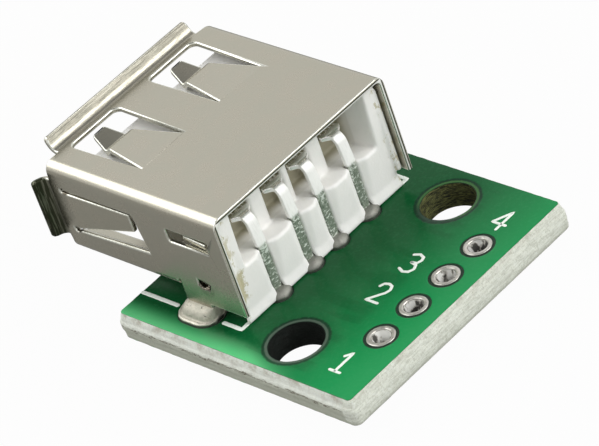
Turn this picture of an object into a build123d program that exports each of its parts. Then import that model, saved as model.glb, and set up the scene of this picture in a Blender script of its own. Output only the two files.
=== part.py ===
from build123d import *
import os
from math import cos, radians, sin, tan

# A receptacle for a flat four-contact plug, soldered to a small breakout board.
# Origin: midway between the two screw holes, on the underside of the board.
# +X runs along the header row, +Y from the mouth of the receptacle to the header, +Z up. Millimetres.

# Board
board_width = 16.6
board_thickness = 1.6
front_reach = 11.0
header_reach = 4.0
rear_margin = 1.85
snap_bulge = 0.25
snap_undercut = 0.1
snap_web = 0.5
mask_thickness = 0.03
screw_spacing = 12.0
screw_hole = 3.0
screw_relief = 0.05

# Plated holes
plating = 0.05
pad_rise = 0.02
mask_clearance = 0.2
pin_count = 4
pin_pitch = 2.54
pin_hole = 0.95
pin_ring = 1.56

# Printed outline round the receptacle
ink_thickness = 0.02
ink_line = 0.26
ink_width = 13.34
ink_rear = -3.33
ink_break = 0.15

# Folded shell
sheet = 0.3
shell_width = 13.1
shell_height = 5.72
shell_lift = 1.51
shell_rear = -2.6
shell_body = 12.8
shell_bend = 0.6
skirt_lift = 1.0
lip_angle = 68
lip_bend = 0.65
lip_length = 0.42
lip_corner = 1.1
side_lip_corner = 1.0
lip_round = 0.35
seam_gap = 0.06
seam_key = 1.2
seam_key_length = 1.4
seam_key_flare = 0.25
seam_key_ahead = 0.35

# Legs of the shell
leg_ahead = 2.62
leg_width = 1.9
leg_hole = 1.2
leg_hole_stretch = 1.36
leg_ring = 2.0
leg_ring_stretch = 0.8
leg_ring_ahead = 0.3
leg_drop = 0.9
leg_point = 0.3
floor_relief = 0.2

# Spring fingers in the top and bottom of the shell
finger_offset = 3.0
finger_root = 7.03
window_front = 0.3
window_root_width = 3.26
window_front_width = 3.54
window_corner = 0.4
finger_tip_width = 1.9
finger_end_width = 0.9
finger_droop = 0.22
finger_dip = 0.68
finger_reach = 3.85
finger_knee = 0.45
finger_nip = 0.12
finger_toe = 5.15
finger_toe_rise = 0.5
finger_bend = 0.35
spring_root_bend = 2.0

# Blade spring, catch and barb hole in each side of the shell
blade_root = 0.8
blade_length = 4.35
blade_root_height = 2.34
blade_end_height = 1.15
blade_slit = 0.16
blade_slit_end = 0.19
blade_press = 0.47
blade_window = 5.5
blade_window_slant = 0.2
blade_drop = 0.1
blade_lift = 0.1
catch_slot_height = 0.8
catch_slot_corner = 0.15
catch_height = 0.36
catch_length = 2.3
catch_gap = 0.8
catch_ramp = 0.5
catch_bend = 0.3
catch_start = 1.1
catch_press = 0.2
catch_bite = 0.12
catch_above = 0.83
catch_clear = 0.02
barb_start = 2.55
barb_below = 2.1
barb_hole_form = ((-0.47, 0.4), (0.4, 0.22), (0.1, -0.4), (-0.5, -0.02))
barb_width = 0.5
barb_rise = 0.34
barb_press = 0.24
barb_root = 0.36

# Moulded insulator
moulding_side_gap = 0.2
moulding_top_gap = 0.03
stop_wall = 3.4
back_wall = 0.4
moulding_round = 0.4
rear_slope = 3.6
base_rear = -3.35
ledge_height = 3.25
rib_setback = 1.25
rib_round = 0.2
rib_count = 3
rib_spacing = 2.25
rib_width = 1.04
middle_rib_width = 0.5
cell_side = 4.75
cell_slope = 8.0
roof = 0.9
side_notch = 0.33
notch_slope = 0.45
notch_places = ((4.38, 5.5), (1.5, 3.07))
foot_reach = 1.3
groove_flare = 0.5
tongue_width = 11.1
tongue_thickness = 1.8
tongue_gap = 0.73
tongue_length = 8.88
tongue_chamfer = 0.45
tongue_groove = 1.0
tongue_lip = 0.7

# Stamped contacts
contact_outer = 3.5
contact_inner = 1.0
strip = 0.25
tail_y = -3.575
tail_width = 0.5
neck_width = 0.65
shoulder_width = 1.4
shoulder_back = 0.73
shoulder_taper = 0.25
blade_width = 1.0
neck_above = 0.1
contact_lean = 0.22
contact_bend = 0.5
contact_ease = 1.0
contact_top = 6.85
contact_run = 1.2
contact_bow = 1.2
contact_bow_back = 3.0
contact_tip_back = 1.0
contact_tip_drop = 0.25
contact_drop = 0.9
contact_hole = 0.92
contact_ring = 1.4
slide_gap = 0.04

# Solder
joint_height = 0.45
joint_gap = 0.06
joint_edge = 0.02
joint_short = 0.12
tail_neck = 0.06
leg_joint_height = 0.8
leg_neck = 0.2
solder_form = ((0.0, 0.0), (0.1, 0.4), (0.5, 0.8), (1.0, 1.0))
hidden_solder_form = ((0.0, 0.0), (0.3, 0.55), (1.0, 1.0))

# Places worked out from the sizes above
board_front = -front_reach
board_rear = header_reach + rear_margin
core_bottom = mask_thickness
core_top = board_thickness - mask_thickness
pad_top = board_thickness + pad_rise
seat = board_thickness + ink_thickness
shell_bottom = board_thickness + shell_lift
shell_top = shell_bottom + shell_height
shell_middle = (shell_bottom + shell_top) / 2
shell_front = shell_rear - shell_body
shell_side = shell_width / 2
side_middle = shell_side - sheet / 2
leg_y = tail_y - leg_ahead
leg_front = leg_y - leg_width / 2
leg_back = leg_y + leg_width / 2
leg_ring_y = leg_y - leg_ring_ahead
finger_root_y = shell_rear - finger_root
window_front_y = shell_front + window_front
moulding_side = shell_side - sheet - moulding_side_gap
moulding_top = shell_top - sheet - moulding_top_gap
stop_y = shell_rear - stop_wall
ledge_z = board_thickness + ledge_height
tongue_top = shell_top - sheet - tongue_gap
tongue_bottom = tongue_top - tongue_thickness
tongue_front = stop_y - tongue_length
contact_offsets = (contact_outer, contact_inner, -contact_inner, -contact_outer)
pins = [((pin_count - 1) / 2 - i) * pin_pitch for i in range(pin_count)]
screws = (screw_spacing / 2, -screw_spacing / 2)
FAR = 40


def ribbon(points, radii, thickness):
    """Face of a bent sheet in its own plane: points lie along its middle, one middle radius for each bend."""
    middle = [Vector(*p) for p in points]
    heading = [(b - a).normalized() for a, b in zip(middle, middle[1:])]
    turns = [a.X * b.Y - a.Y * b.X for a, b in zip(heading, heading[1:])]
    edges = []
    for side in (1, -1):
        normals = [Vector(-d.Y, d.X) * side for d in heading]
        offsets = [normals[0]]
        offsets += [(a + b) / (1 + a.dot(b)) for a, b in zip(normals, normals[1:])]
        offsets.append(normals[-1])
        line = [p + n * (thickness / 2) for p, n in zip(middle, offsets)]
        bends = [r - side * thickness / 2 * (1 if turn > 0 else -1) for r, turn in zip(radii, turns)]
        edges.append(FilletPolyline(*line, radius=bends) if bends else Line(*line))
    caps = [Line(edges[0] @ 0, edges[1] @ 0), Line(edges[0] @ 1, edges[1] @ 1)]
    return make_face(Wire([*edges[0].edges(), caps[1].edge(), *edges[1].edges(), caps[0].edge()]))


def across(face, width, x=0.0):
    """Solid of a face drawn in Y and Z, width wide and centred on x."""
    return Pos(x, 0, 0) * extrude(Plane.YZ * face, amount=width / 2, both=True)


def upright(face, low, high):
    """Solid of a face drawn in X and Y between two heights."""
    return extrude(Pos(0, 0, low) * face, amount=high - low)


def block(x, y, z):
    """Box between the pairs of limits x, y and z."""
    size = [high - low for low, high in (x, y, z)]
    return Pos(*[(low + high) / 2 for low, high in (x, y, z)]) * Box(*size)


def pillar(diameter, x, y, low, high):
    return Pos(x, y, (low + high) / 2) * Cylinder(diameter / 2, high - low)


def oblong(diameter, stretch, x=0.0, y=0.0):
    """Circle at x and y, drawn out along Y by the stretch."""
    form = SlotCenterToCenter(stretch, diameter, rotation=90) if stretch else Circle(diameter / 2)
    return Pos(x, y) * form


def both_sides(solid):
    """The solid with its mirror image on the other side of the receptacle."""
    return solid + mirror(solid, about=Plane.YZ)


def turned(points, x, y):
    """Solid of revolution about an upright axis: points are radius and height."""
    return Pos(x, y, 0) * revolve(Plane.XZ * make_face(Polyline(*points, close=True)), Axis.Z)


# Board


def board_core():
    """Laminate with scored and snapped edges: bevels above and below a standing web."""
    web_low = (board_thickness - snap_web) / 2
    web_high = web_low + snap_web
    half = board_width / 2
    under = snap_bulge - snap_undercut

    def edge_form(low, high):
        return make_face(
            Polyline(
                (low - under, core_bottom),
                (low - snap_bulge, web_low),
                (low - snap_bulge, web_high),
                (low, core_top),
                (high, core_top),
                (high + snap_bulge, web_high),
                (high + snap_bulge, web_low),
                (high + under, core_bottom),
                close=True,
            )
        )

    lengthwise = across(edge_form(board_front, board_rear), FAR)
    crosswise = extrude(Plane.XZ * edge_form(-half, half), amount=FAR / 2, both=True)
    core = lengthwise & crosswise
    for x in screws:
        core -= pillar(screw_hole, x, 0, 0, board_thickness)
    for x, y, hole, _, stretch, _ in plated_places():
        core -= upright(oblong(hole + 2 * plating, stretch, x, y), 0, board_thickness)
    return core


def plated_places():
    """Each plated hole: its place, the bore left in it, its ring and how far each of the two is drawn out."""
    header = [(x, header_reach, pin_hole, pin_ring, 0, 0) for x in pins]
    contacts = [(x, tail_y, contact_hole, contact_ring, 0, 0) for x in contact_offsets]
    drawn_out = (leg_hole, leg_ring, leg_hole_stretch, leg_ring_stretch)
    legs = [(side * side_middle, leg_ring_y, *drawn_out) for side in (1, -1)]
    return header + contacts + legs


def mask(low, growth=0.0):
    """Lacquer over one face of the laminate, open round the holes and their rings."""
    width = board_width + 2 * growth
    length = board_rear - board_front + 2 * growth
    face = Pos(0, (board_rear + board_front) / 2) * Rectangle(width, length)
    for x in screws:
        face -= Pos(x, 0) * Circle(screw_hole / 2 + screw_relief)
    for x, y, _, ring, _, stretch in plated_places():
        face -= oblong(ring + 2 * mask_clearance, stretch, x, y)
    return upright(face, low, low + mask_thickness)


def plated_hole(x, y, hole, ring, hole_stretch=0, ring_stretch=0):
    """Barrel through the laminate with a ring on each face."""
    bore = oblong(hole, hole_stretch, x, y)
    plate = oblong(ring, ring_stretch, x, y) - bore
    barrel = upright(oblong(hole + 2 * plating, hole_stretch, x, y) - bore, -pad_rise, pad_top)
    return barrel + upright(plate, -pad_rise, core_bottom) + upright(plate, core_top, pad_top)


def printed_outline():
    """Ink line on three sides of the receptacle, broken at every soldered ring."""
    outer = ink_width / 2
    length = ink_rear - board_front
    face = Pos(0, ink_rear - length / 2) * Rectangle(ink_width, length)
    hollow = length - ink_line
    face -= Pos(0, board_front + hollow / 2) * Rectangle(2 * (outer - ink_line), hollow)
    for x, y, _, ring, _, stretch in plated_places():
        face -= oblong(ring + 2 * (mask_clearance + ink_break), stretch, x, y)
    return upright(face, board_thickness, board_thickness + ink_thickness)


# Shell


def sheet_profile(width, height, radius):
    return Plane.XZ * Pos(0, shell_middle) * RectangleRounded(width, height, radius)


def lip(height):
    """Flared edge: the sheet turns away from the mouth. Drawn in Y and Z at the middle height given."""
    angle = radians(lip_angle)
    setback = lip_bend * tan(angle / 2)
    bend_y = shell_front - setback
    run = setback + lip_length
    end = (bend_y - run * cos(angle), height + run * sin(angle))
    return ribbon([(shell_front + sheet, height), (bend_y, height), end], [lip_bend], sheet)


def lips():
    """Four flared edges round the mouth with open corners between them."""
    wide, tall = shell_width - 2 * lip_corner, shell_height - 2 * side_lip_corner
    turn = Axis((0, 0, 0), (0, 1, 0))
    placed = Plane.XY.offset(shell_middle).location
    around = []
    for middle, width in ((shell_height / 2 - sheet / 2, wide), (shell_width / 2 - sheet / 2, tall)):
        edge = across(lip(middle), width)
        top = edge.bounding_box().max.Z
        outline = Plane.XZ * RectangleRounded(width, 2 * top, lip_round)
        around.append(edge & extrude(outline, amount=FAR))
    level, side = around
    turned_lips = (level, level.rotate(turn, 180), side.rotate(turn, 90), side.rotate(turn, -90))
    return [placed * one for one in turned_lips]


def seam():
    """Slit along the middle of the floor where the sheet's two edges meet, with one key that locks them."""
    key_y = finger_root_y + seam_key_ahead
    end_y = key_y + seam_key_length
    line = Polyline(
        (0, shell_front - FAR),
        (0, key_y),
        (seam_key, key_y - seam_key_flare),
        (seam_key, end_y + seam_key_flare),
        (0, end_y),
        (0, 0),
    )
    return upright(trace(line, seam_gap), 0, shell_bottom + sheet)


def window(x):
    """Opening round one spring finger, its slits running out to points at the finger's root."""
    front, root = window_front_width / 2, window_root_width / 2
    outline = make_face(
        Polyline(
            (-front, window_front_y),
            (front, window_front_y),
            (root, finger_root_y),
            (-root, finger_root_y),
            close=True,
        )
    )
    corners = outline.vertices().sort_by(Axis.Y)[:2]
    return Pos(x, 0) * fillet(corners, window_corner)


def finger(x):
    """Spring finger of the top wall: it leans down, dips into the mouth and turns up at its toe."""
    level = shell_top - sheet / 2
    tip = finger_root_y - finger_reach
    knee = tip + finger_knee
    toe = finger_root_y - finger_toe
    bent = ribbon(
        [
            (finger_root_y + sheet, level),
            (finger_root_y, level),
            (knee, level - finger_droop),
            (tip, level - finger_dip),
            (toe, level - finger_dip + finger_toe_rise),
        ],
        [spring_root_bend, finger_bend, finger_bend],
        sheet,
    )
    root, wide, narrow = window_root_width / 2, finger_tip_width / 2, finger_end_width / 2
    outline = make_face(
        Polyline(
            (-root, finger_root_y + sheet),
            (-root, finger_root_y),
            (-wide, knee),
            (finger_nip - wide, tip),
            (-narrow, toe),
            (narrow, toe),
            (wide - finger_nip, tip),
            (wide, knee),
            (root, finger_root_y),
            (root, finger_root_y + sheet),
            close=True,
        )
    )
    outline = fillet(outline.vertices().sort_by(Axis.Y)[:2], finger_end_width / 4)
    return Pos(x, 0) * (across(bent, window_front_width) & upright(outline, 0, FAR))


def blade_spring():
    """Opening and blade of the left side wall: the blade is rooted at the mouth and pressed inwards."""
    root_y = shell_front + blade_root
    end_y = root_y + blade_length
    rear_y = root_y + blade_window
    half_root, half_end = blade_root_height / 2, blade_end_height / 2
    opening = make_face(
        Polyline(
            (root_y, -half_root - blade_slit),
            (rear_y + blade_window_slant, -half_root + blade_drop),
            (rear_y - blade_window_slant, half_root + blade_slit),
            (root_y, half_root + blade_slit),
            close=True,
        )
    )
    for height in (half_root + blade_slit / 2, -half_root - blade_slit / 2):
        opening += Pos(root_y, height) * Circle(blade_slit_end)
    opening = across(Pos(0, shell_middle) * opening, 4 * sheet, side_middle)
    outline = make_face(
        Polyline(
            (root_y - sheet, -half_root),
            (root_y + sheet, -half_root),
            (end_y, blade_lift - half_end),
            (end_y, blade_lift + half_end),
            (root_y + sheet, half_root),
            (root_y - sheet, half_root),
            close=True,
        )
    )
    outline = across(Pos(0, shell_middle) * outline, FAR, side_middle)
    bent = ribbon(
        [
            (side_middle, root_y - sheet),
            (side_middle, root_y + sheet),
            (side_middle - blade_press, end_y),
        ],
        [spring_root_bend],
        sheet,
    )
    return opening, upright(bent, shell_bottom, shell_top) & outline


def catch():
    """Slot and lanced strip of the left side wall that hold the moulding: the strip is rooted at the rear."""
    root_y = shell_rear - catch_start
    free_y = root_y - catch_length
    slot_length = catch_length + catch_gap
    slot_middle = shell_middle + catch_above
    opening = RectangleRounded(slot_length, catch_slot_height, catch_slot_corner)
    slot = across(Pos(root_y - slot_length / 2, slot_middle) * opening, 4 * sheet, side_middle)
    low = slot_middle - catch_slot_height / 2 + catch_clear
    bent = ribbon(
        [
            (side_middle, root_y + sheet),
            (side_middle, root_y),
            (side_middle - catch_press, root_y - catch_ramp),
            (side_middle - catch_press - catch_bite, free_y),
        ],
        [catch_bend, catch_bend],
        sheet,
    )
    return slot, upright(bent, low, low + catch_height)


def barb():
    """Small four-cornered hole over the leg, and the barb pressed inwards at its foot."""
    y = shell_rear - barb_start
    z = shell_middle - barb_below
    hole = make_face(Polyline(*[(y + along, z + up) for along, up in barb_hole_form], close=True))
    root = z - barb_root
    outline = make_face(
        Polyline(
            (y - barb_width / 2, root),
            (y, root + barb_rise),
            (y + barb_width / 2, root),
            (y + barb_width / 2, root - sheet),
            (y - barb_width / 2, root - sheet),
            close=True,
        )
    )
    middle = [
        (side_middle, root - sheet),
        (side_middle, root),
        (side_middle - barb_press, root + barb_rise),
    ]
    bent = extrude(Plane.XZ * ribbon(middle, [catch_bend], sheet), amount=FAR, both=True)
    return across(hole, 4 * sheet, side_middle), bent & across(outline, 4 * sheet, side_middle)


def leg():
    """Side wall's skirt behind the floor, with the leg that goes through the board."""
    inner = shell_side - sheet
    skirt_low = board_thickness + skirt_lift
    outline = make_face(
        Polyline(
            (leg_front, shell_bottom + shell_bend),
            (leg_front, leg_point - leg_drop),
            (leg_front + leg_point, -leg_drop),
            (leg_back - leg_point, -leg_drop),
            (leg_back, leg_point - leg_drop),
            (leg_back, skirt_low),
            (shell_rear, skirt_low),
            (shell_rear, shell_bottom + shell_bend),
            close=True,
        )
    )
    return across(outline, sheet, inner + sheet / 2)


def shell():
    """One folded sheet: tube, lips, fingers, side springs, catches, skirts and legs."""
    outer = sheet_profile(shell_width, shell_height, shell_bend)
    inner = sheet_profile(shell_width - 2 * sheet, shell_height - 2 * sheet, shell_bend - sheet)
    tube = Pos(0, shell_rear) * extrude(outer - inner, amount=shell_body)
    floor_end = leg_front - floor_relief
    tube -= block((-FAR, FAR), (floor_end, FAR), (0, shell_bottom + shell_bend))
    for x in (finger_offset, -finger_offset):
        tube -= upright(window(x), shell_bottom - sheet, shell_top + sheet)
    opening, blade = blade_spring()
    slot, strip_catch = catch()
    hole, small_barb = barb()
    for cut in (opening, slot, hole):
        tube -= both_sides(cut)
    for one in lips():
        tube += one
    tube -= seam()
    centre = Plane.XY.offset(shell_middle)
    for x in (finger_offset, -finger_offset):
        tube += finger(x)
        tube += mirror(finger(x), about=centre)
    for spring in (blade, strip_catch, small_barb):
        tube += both_sides(spring)
    return tube + both_sides(leg())


# Moulding


def rear_at(z):
    """Place of the moulding's sloping rear face at a height."""
    return base_rear + (z - board_thickness) * tan(radians(rear_slope))


def rear_slab(low, high, front):
    """Face in Y and Z from a front plane back to the sloping rear face, between two heights."""
    corners = (front, low), (rear_at(low), low), (rear_at(high), high), (front, high)
    return make_face(Polyline(*corners, close=True))


def cell_walls():
    """Side walls of the open rear, ribs between the contacts, the wall ahead of them and the roof."""
    side = moulding_side - cell_side
    walls = both_sides(across(rear_slab(ledge_z, moulding_top, stop_y), side, cell_side + side / 2))
    slope = tan(radians(cell_slope))
    depth = rear_at(moulding_top) - stop_y
    wedge = make_face(
        Polyline(
            (cell_side - slide_gap, stop_y),
            (cell_side - slide_gap, stop_y + depth),
            (cell_side + depth * slope, stop_y + depth),
            close=True,
        )
    )
    walls -= both_sides(upright(wedge, ledge_z, moulding_top))
    rib_rear = rear_at(ledge_z) - rib_setback
    for i in range(rib_count):
        x = ((rib_count - 1) / 2 - i) * rib_spacing
        width = middle_rib_width if abs(x) < rib_spacing / 2 else rib_width
        rib = block((x - width / 2, x + width / 2), (stop_y, rib_rear), (ledge_z, moulding_top))
        walls += fillet(rib.edges().filter_by(Axis.Z).group_by(Axis.Y)[-1], rib_round)
    walls += block((-moulding_side, moulding_side), (stop_y, stop_y + back_wall), (ledge_z, moulding_top))
    walls += block((-moulding_side, moulding_side), (stop_y, rib_rear), (moulding_top - roof, moulding_top))
    return walls


def notch(low, high):
    """Notch down one side of the moulding, sloping out at its foot; heights from the shell's seat."""
    inner = moulding_side - side_notch
    section = make_face(
        Polyline(
            (FAR, seat + high),
            (inner, seat + high),
            (inner, seat + low + notch_slope),
            (moulding_side, seat + low),
            (FAR, seat + low),
            close=True,
        )
    )
    return extrude(Plane.XZ * section, amount=-stop_y)


def tongue():
    """Tongue with chamfered nose and a groove under it for each contact."""
    body = block((-tongue_width / 2, tongue_width / 2), (tongue_front, stop_y), (tongue_bottom, tongue_top))
    nose = body.edges().filter_by(Axis.X).group_by(Axis.Y)[0]
    body = chamfer(nose, tongue_chamfer)
    corners = body.edges().filter_by(Axis.Z).group_by(Axis.Y)[0]
    return chamfer(corners, tongue_chamfer)


def tail_groove(x):
    """Upright groove behind a tail, flared from the tail's face to the rear."""
    half = tail_width / 2 + slide_gap
    floor = tail_y - contact_lean - strip / 2 - slide_gap
    flare = tail_y + strip / 2
    mouth = rear_at(ledge_z)
    section = make_face(
        Polyline(
            (x - half, floor),
            (x - half, flare),
            (x - half - groove_flare, mouth),
            (x + half + groove_flare, mouth),
            (x + half, flare),
            (x + half, floor),
            close=True,
        )
    )
    return upright(section, 0, ledge_z)


def insulator():
    """White moulding: base, rear block with five uprights, stop wall and tongue."""
    body = across(rear_slab(seat, ledge_z, stop_y), 2 * moulding_side)
    floor_top = shell_bottom + sheet
    body += block((-moulding_side, moulding_side), (stop_y - foot_reach, stop_y), (seat, floor_top))
    body += cell_walls()
    section = Pos(0, (seat + moulding_top) / 2) * RectangleRounded(
        2 * moulding_side, moulding_top - seat + 2 * moulding_round, moulding_round
    )
    body &= extrude(Plane.XZ * Pos(0, -moulding_round) * section, amount=FAR, both=True)
    body += tongue()
    for low, high in notch_places:
        body -= both_sides(notch(low, high))
    groove = (tongue_front + tongue_lip, stop_y + slide_gap)
    slot = (stop_y - slide_gap, stop_y + back_wall)
    seat_rise = pad_top + joint_gap
    for x in contact_offsets:
        half = blade_width / 2 + slide_gap
        sides = (x - half, x + half)
        body -= tail_groove(x)
        body -= block(sides, slot, (contact_top - strip - slide_gap, contact_top + slide_gap))
        body -= block(sides, groove, (tongue_bottom - sheet, tongue_bottom + tongue_groove))
        body -= pillar(contact_ring + 2 * joint_gap, x, tail_y, seat, seat_rise + joint_height)
    for side in (1, -1):
        around = oblong(leg_ring + 2 * joint_gap, leg_ring_stretch, side * side_middle, leg_ring_y)
        body -= upright(around, seat, seat_rise + leg_joint_height)
    return body


# Contacts and solder


def contact(x):
    """Strip bent from the soldered tail over the ledge, through the stop wall and under the tongue."""
    level = contact_top - strip / 2
    path = [
        (tail_y, -contact_drop),
        (tail_y, pad_top + joint_height),
        (tail_y - contact_lean, level),
        (stop_y - contact_run, level),
        (tongue_front + contact_bow_back, level - contact_bow),
        (tongue_front + contact_tip_back, level - contact_tip_drop),
    ]
    radii = [contact_ease, contact_bend, contact_ease, contact_ease]
    bent = across(ribbon(path, radii, strip), shoulder_width, x)
    wall = stop_y + back_wall + slide_gap
    taper = tail_y - shoulder_back
    neck, half, shoulder = neck_width / 2, blade_width / 2, shoulder_width / 2
    plan = make_face(
        Polyline(
            (x - half, -FAR),
            (x - half, wall),
            (x - shoulder, wall),
            (x - shoulder, taper),
            (x - neck, taper + shoulder_taper),
            (x - neck, 0),
            (x + neck, 0),
            (x + neck, taper + shoulder_taper),
            (x + shoulder, taper),
            (x + shoulder, wall),
            (x + half, wall),
            (x + half, -FAR),
            close=True,
        )
    )
    neck_low = ledge_z + neck_above
    narrow = block((x - tail_width / 2, x + tail_width / 2), (taper, 0), (-FAR, neck_low))
    return bent & (upright(plan, neck_low, FAR) + narrow)


def tail_blank(x):
    half = tail_width / 2
    return block((x - half, x + half), (tail_y - strip / 2, tail_y + strip / 2), (-FAR, FAR))


def leg_blank(side):
    x = side * side_middle
    return block((x - sheet / 2, x + sheet / 2), (leg_front, leg_back), (-FAR, FAR))


def heap(form, edge, neck, base, height):
    """Radius and height of each step of a heap of solder, from the ring's edge to the heap's peak."""
    return [(edge + (neck - edge) * inward, base + height * up) for inward, up in form]


def contact_joint(x):
    """Solder round a tail: it fills the hole and climbs the tail above and below."""
    inner, edge = contact_hole / 2, contact_ring / 2 - joint_edge
    neck = tail_width / 2 + tail_neck
    above = heap(solder_form, edge, neck, pad_top, joint_height)
    below = heap(hidden_solder_form, edge, neck, -pad_rise, joint_short - contact_drop)
    middle = [(inner, -pad_rise), (inner, pad_top)]
    section = [(0, below[-1][1]), *reversed(below), *middle, *above, (0, above[-1][1])]
    return turned(section, x, tail_y) - tail_blank(x)


def leg_joint(side):
    """Solder round a leg, heaped over the ring above and below and closing in on the leg."""
    x = side * side_middle
    edge, neck = leg_ring / 2 - joint_edge, sheet / 2 + leg_neck
    peak_stretch = leg_width - 2 * neck
    solid = upright(oblong(leg_hole, leg_hole_stretch, x, leg_ring_y), -pad_rise, pad_top)
    heaps = (
        heap(solder_form, edge, neck, pad_top, leg_joint_height),
        heap(hidden_solder_form, edge, neck, -pad_rise, joint_short - leg_drop),
    )
    for one in heaps:
        steps = []
        for radius, z in one:
            inward = (edge - radius) / (edge - neck)
            stretch = leg_ring_stretch + (peak_stretch - leg_ring_stretch) * inward
            y = leg_ring_y + leg_ring_ahead * inward
            steps.append(Pos(0, 0, z) * oblong(2 * radius, stretch, x, y))
        for lower, upper in zip(steps, steps[1:]):
            solid += loft([lower, upper], ruled=True)
    return solid - leg_blank(side)


nodes = {
    "pcb_core": board_core(),
    "solder_mask_top": mask(core_top),
    "solder_mask_bottom": mask(0, snap_bulge - snap_undercut),
    "printed_outline": printed_outline(),
    "shell": shell(),
    "insulator": insulator(),
}
for number, x in enumerate(pins, 1):
    nodes[f"header_pad_{number}"] = plated_hole(x, header_reach, pin_hole, pin_ring)
for number, x in enumerate(contact_offsets, 1):
    nodes[f"contact_pad_{number}"] = plated_hole(x, tail_y, contact_hole, contact_ring)
    nodes[f"contact_{number}"] = contact(x)
    nodes[f"contact_solder_{number}"] = contact_joint(x)
for side, name in ((1, "left"), (-1, "right")):
    place = (side * side_middle, leg_ring_y)
    nodes[f"leg_pad_{name}"] = plated_hole(*place, leg_hole, leg_ring, leg_hole_stretch, leg_ring_stretch)
    nodes[f"leg_solder_{name}"] = leg_joint(side)

os.makedirs("parts", exist_ok=True)
for name, solid in nodes.items():
    solid.label = name
    export_step(solid, f"parts/{name}.step")
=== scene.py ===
import math

import bmesh
import bpy
from bpy.props import FloatProperty, FloatVectorProperty, PointerProperty
from mathutils import Matrix, Vector, noise
from mathutils.bvhtree import BVHTree


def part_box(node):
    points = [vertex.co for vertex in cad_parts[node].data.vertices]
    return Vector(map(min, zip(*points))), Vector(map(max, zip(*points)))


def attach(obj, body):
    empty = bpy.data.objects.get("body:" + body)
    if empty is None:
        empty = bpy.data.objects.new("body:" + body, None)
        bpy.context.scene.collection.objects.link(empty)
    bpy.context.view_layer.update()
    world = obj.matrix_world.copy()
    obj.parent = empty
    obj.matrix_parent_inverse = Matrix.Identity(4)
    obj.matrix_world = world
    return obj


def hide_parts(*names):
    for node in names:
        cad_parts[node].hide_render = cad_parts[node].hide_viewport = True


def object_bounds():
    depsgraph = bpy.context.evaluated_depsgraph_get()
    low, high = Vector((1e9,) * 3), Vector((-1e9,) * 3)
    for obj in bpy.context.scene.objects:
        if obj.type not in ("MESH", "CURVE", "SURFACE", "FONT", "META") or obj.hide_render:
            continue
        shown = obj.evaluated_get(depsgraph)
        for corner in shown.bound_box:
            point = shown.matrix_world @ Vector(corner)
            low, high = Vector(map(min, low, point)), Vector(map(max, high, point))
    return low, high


bl_info = {
    "name": "Breakout board dressing",
    "version": (1, 0, 0),
    "blender": (4, 5, 0),
    "location": "3D View > Sidebar > Breakout board",
    "description": "Dresses the packed board and its receptacle, and sets the stage, the lamps and the camera",
    "category": "Object",
}

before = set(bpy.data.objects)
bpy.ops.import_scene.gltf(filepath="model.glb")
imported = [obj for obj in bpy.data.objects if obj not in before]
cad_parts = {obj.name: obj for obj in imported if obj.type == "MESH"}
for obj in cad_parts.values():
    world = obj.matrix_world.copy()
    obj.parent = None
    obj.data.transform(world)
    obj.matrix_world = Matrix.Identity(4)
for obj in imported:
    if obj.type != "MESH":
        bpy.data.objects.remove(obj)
cad_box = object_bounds()

# Everything is drawn in millimetres and scaled to the frame's metres when it is placed.
MM = 0.001
PICTURE_WIDTH = 599
SENSOR = 36.0
CONTACTS = (1, 2, 3, 4)
PINS = (1, 2, 3, 4)
SIDES = ("left", "right")

# Board: heights of the laminate, the lacquer and the ink; screw holes; bores and barrels of the plated holes.
BOARD_TOP = 1.6
CORE_LOW = 0.03
CORE_HIGH = 1.57
INK_TOP = 1.62
SCREWS = ((6.0, 0.0), (-6.0, 0.0))
SCREW_RADIUS = 1.5
PIN_BORE = 0.475
BARRELS = {"header_pad": 0.525, "contact_pad": 0.51, "leg_pad": 0.65}
LEG_BORE_STRETCH = 1.36

# Solder: how far it stands off the board's faces, and how deep its cones hang below the board.
SOLDER_FILM = 0.015
SOLDER_DROP = 0.74
SOLDER_CONE = ((1.0, 0.0), (0.93, 0.1), (0.75, 0.26), (0.5, 0.48), (0.25, 0.75))

# Shell: its outer faces, the foot of its skirts, its legs, and what is cut into its sides.
SHELL_SIDE = 6.55
SHELL_TOP = 8.83
SHELL_REAR = -2.6
SKIRT_FOOT = 2.6
LEG_FRONT = -7.13
LEG_MIDDLE = -6.195
LEG_WIDTH = 1.9
BARB_HOLES = ((6.3, -5.12, 3.8), (-6.3, -5.12, 3.8))
SLIT_ENDS = ((6.45, -14.5, 7.25), (6.45, -14.52, 4.71))

# Insulator: rear faces of its ribs, back walls and top of the cells between them, and top of its lower blocks.
RIB_REAR = -4.4
CELL_BACK = -5.6
CELL_TOP = 7.6
BLOCK_TOP = 4.85


def middle(node):
    """Centre of a CAD node in millimetres."""
    low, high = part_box(node)
    return (low + high) / 2 / MM


def extent(node):
    """Size of a CAD node in millimetres."""
    low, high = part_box(node)
    return (high - low) / MM


# Shader tools


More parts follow.
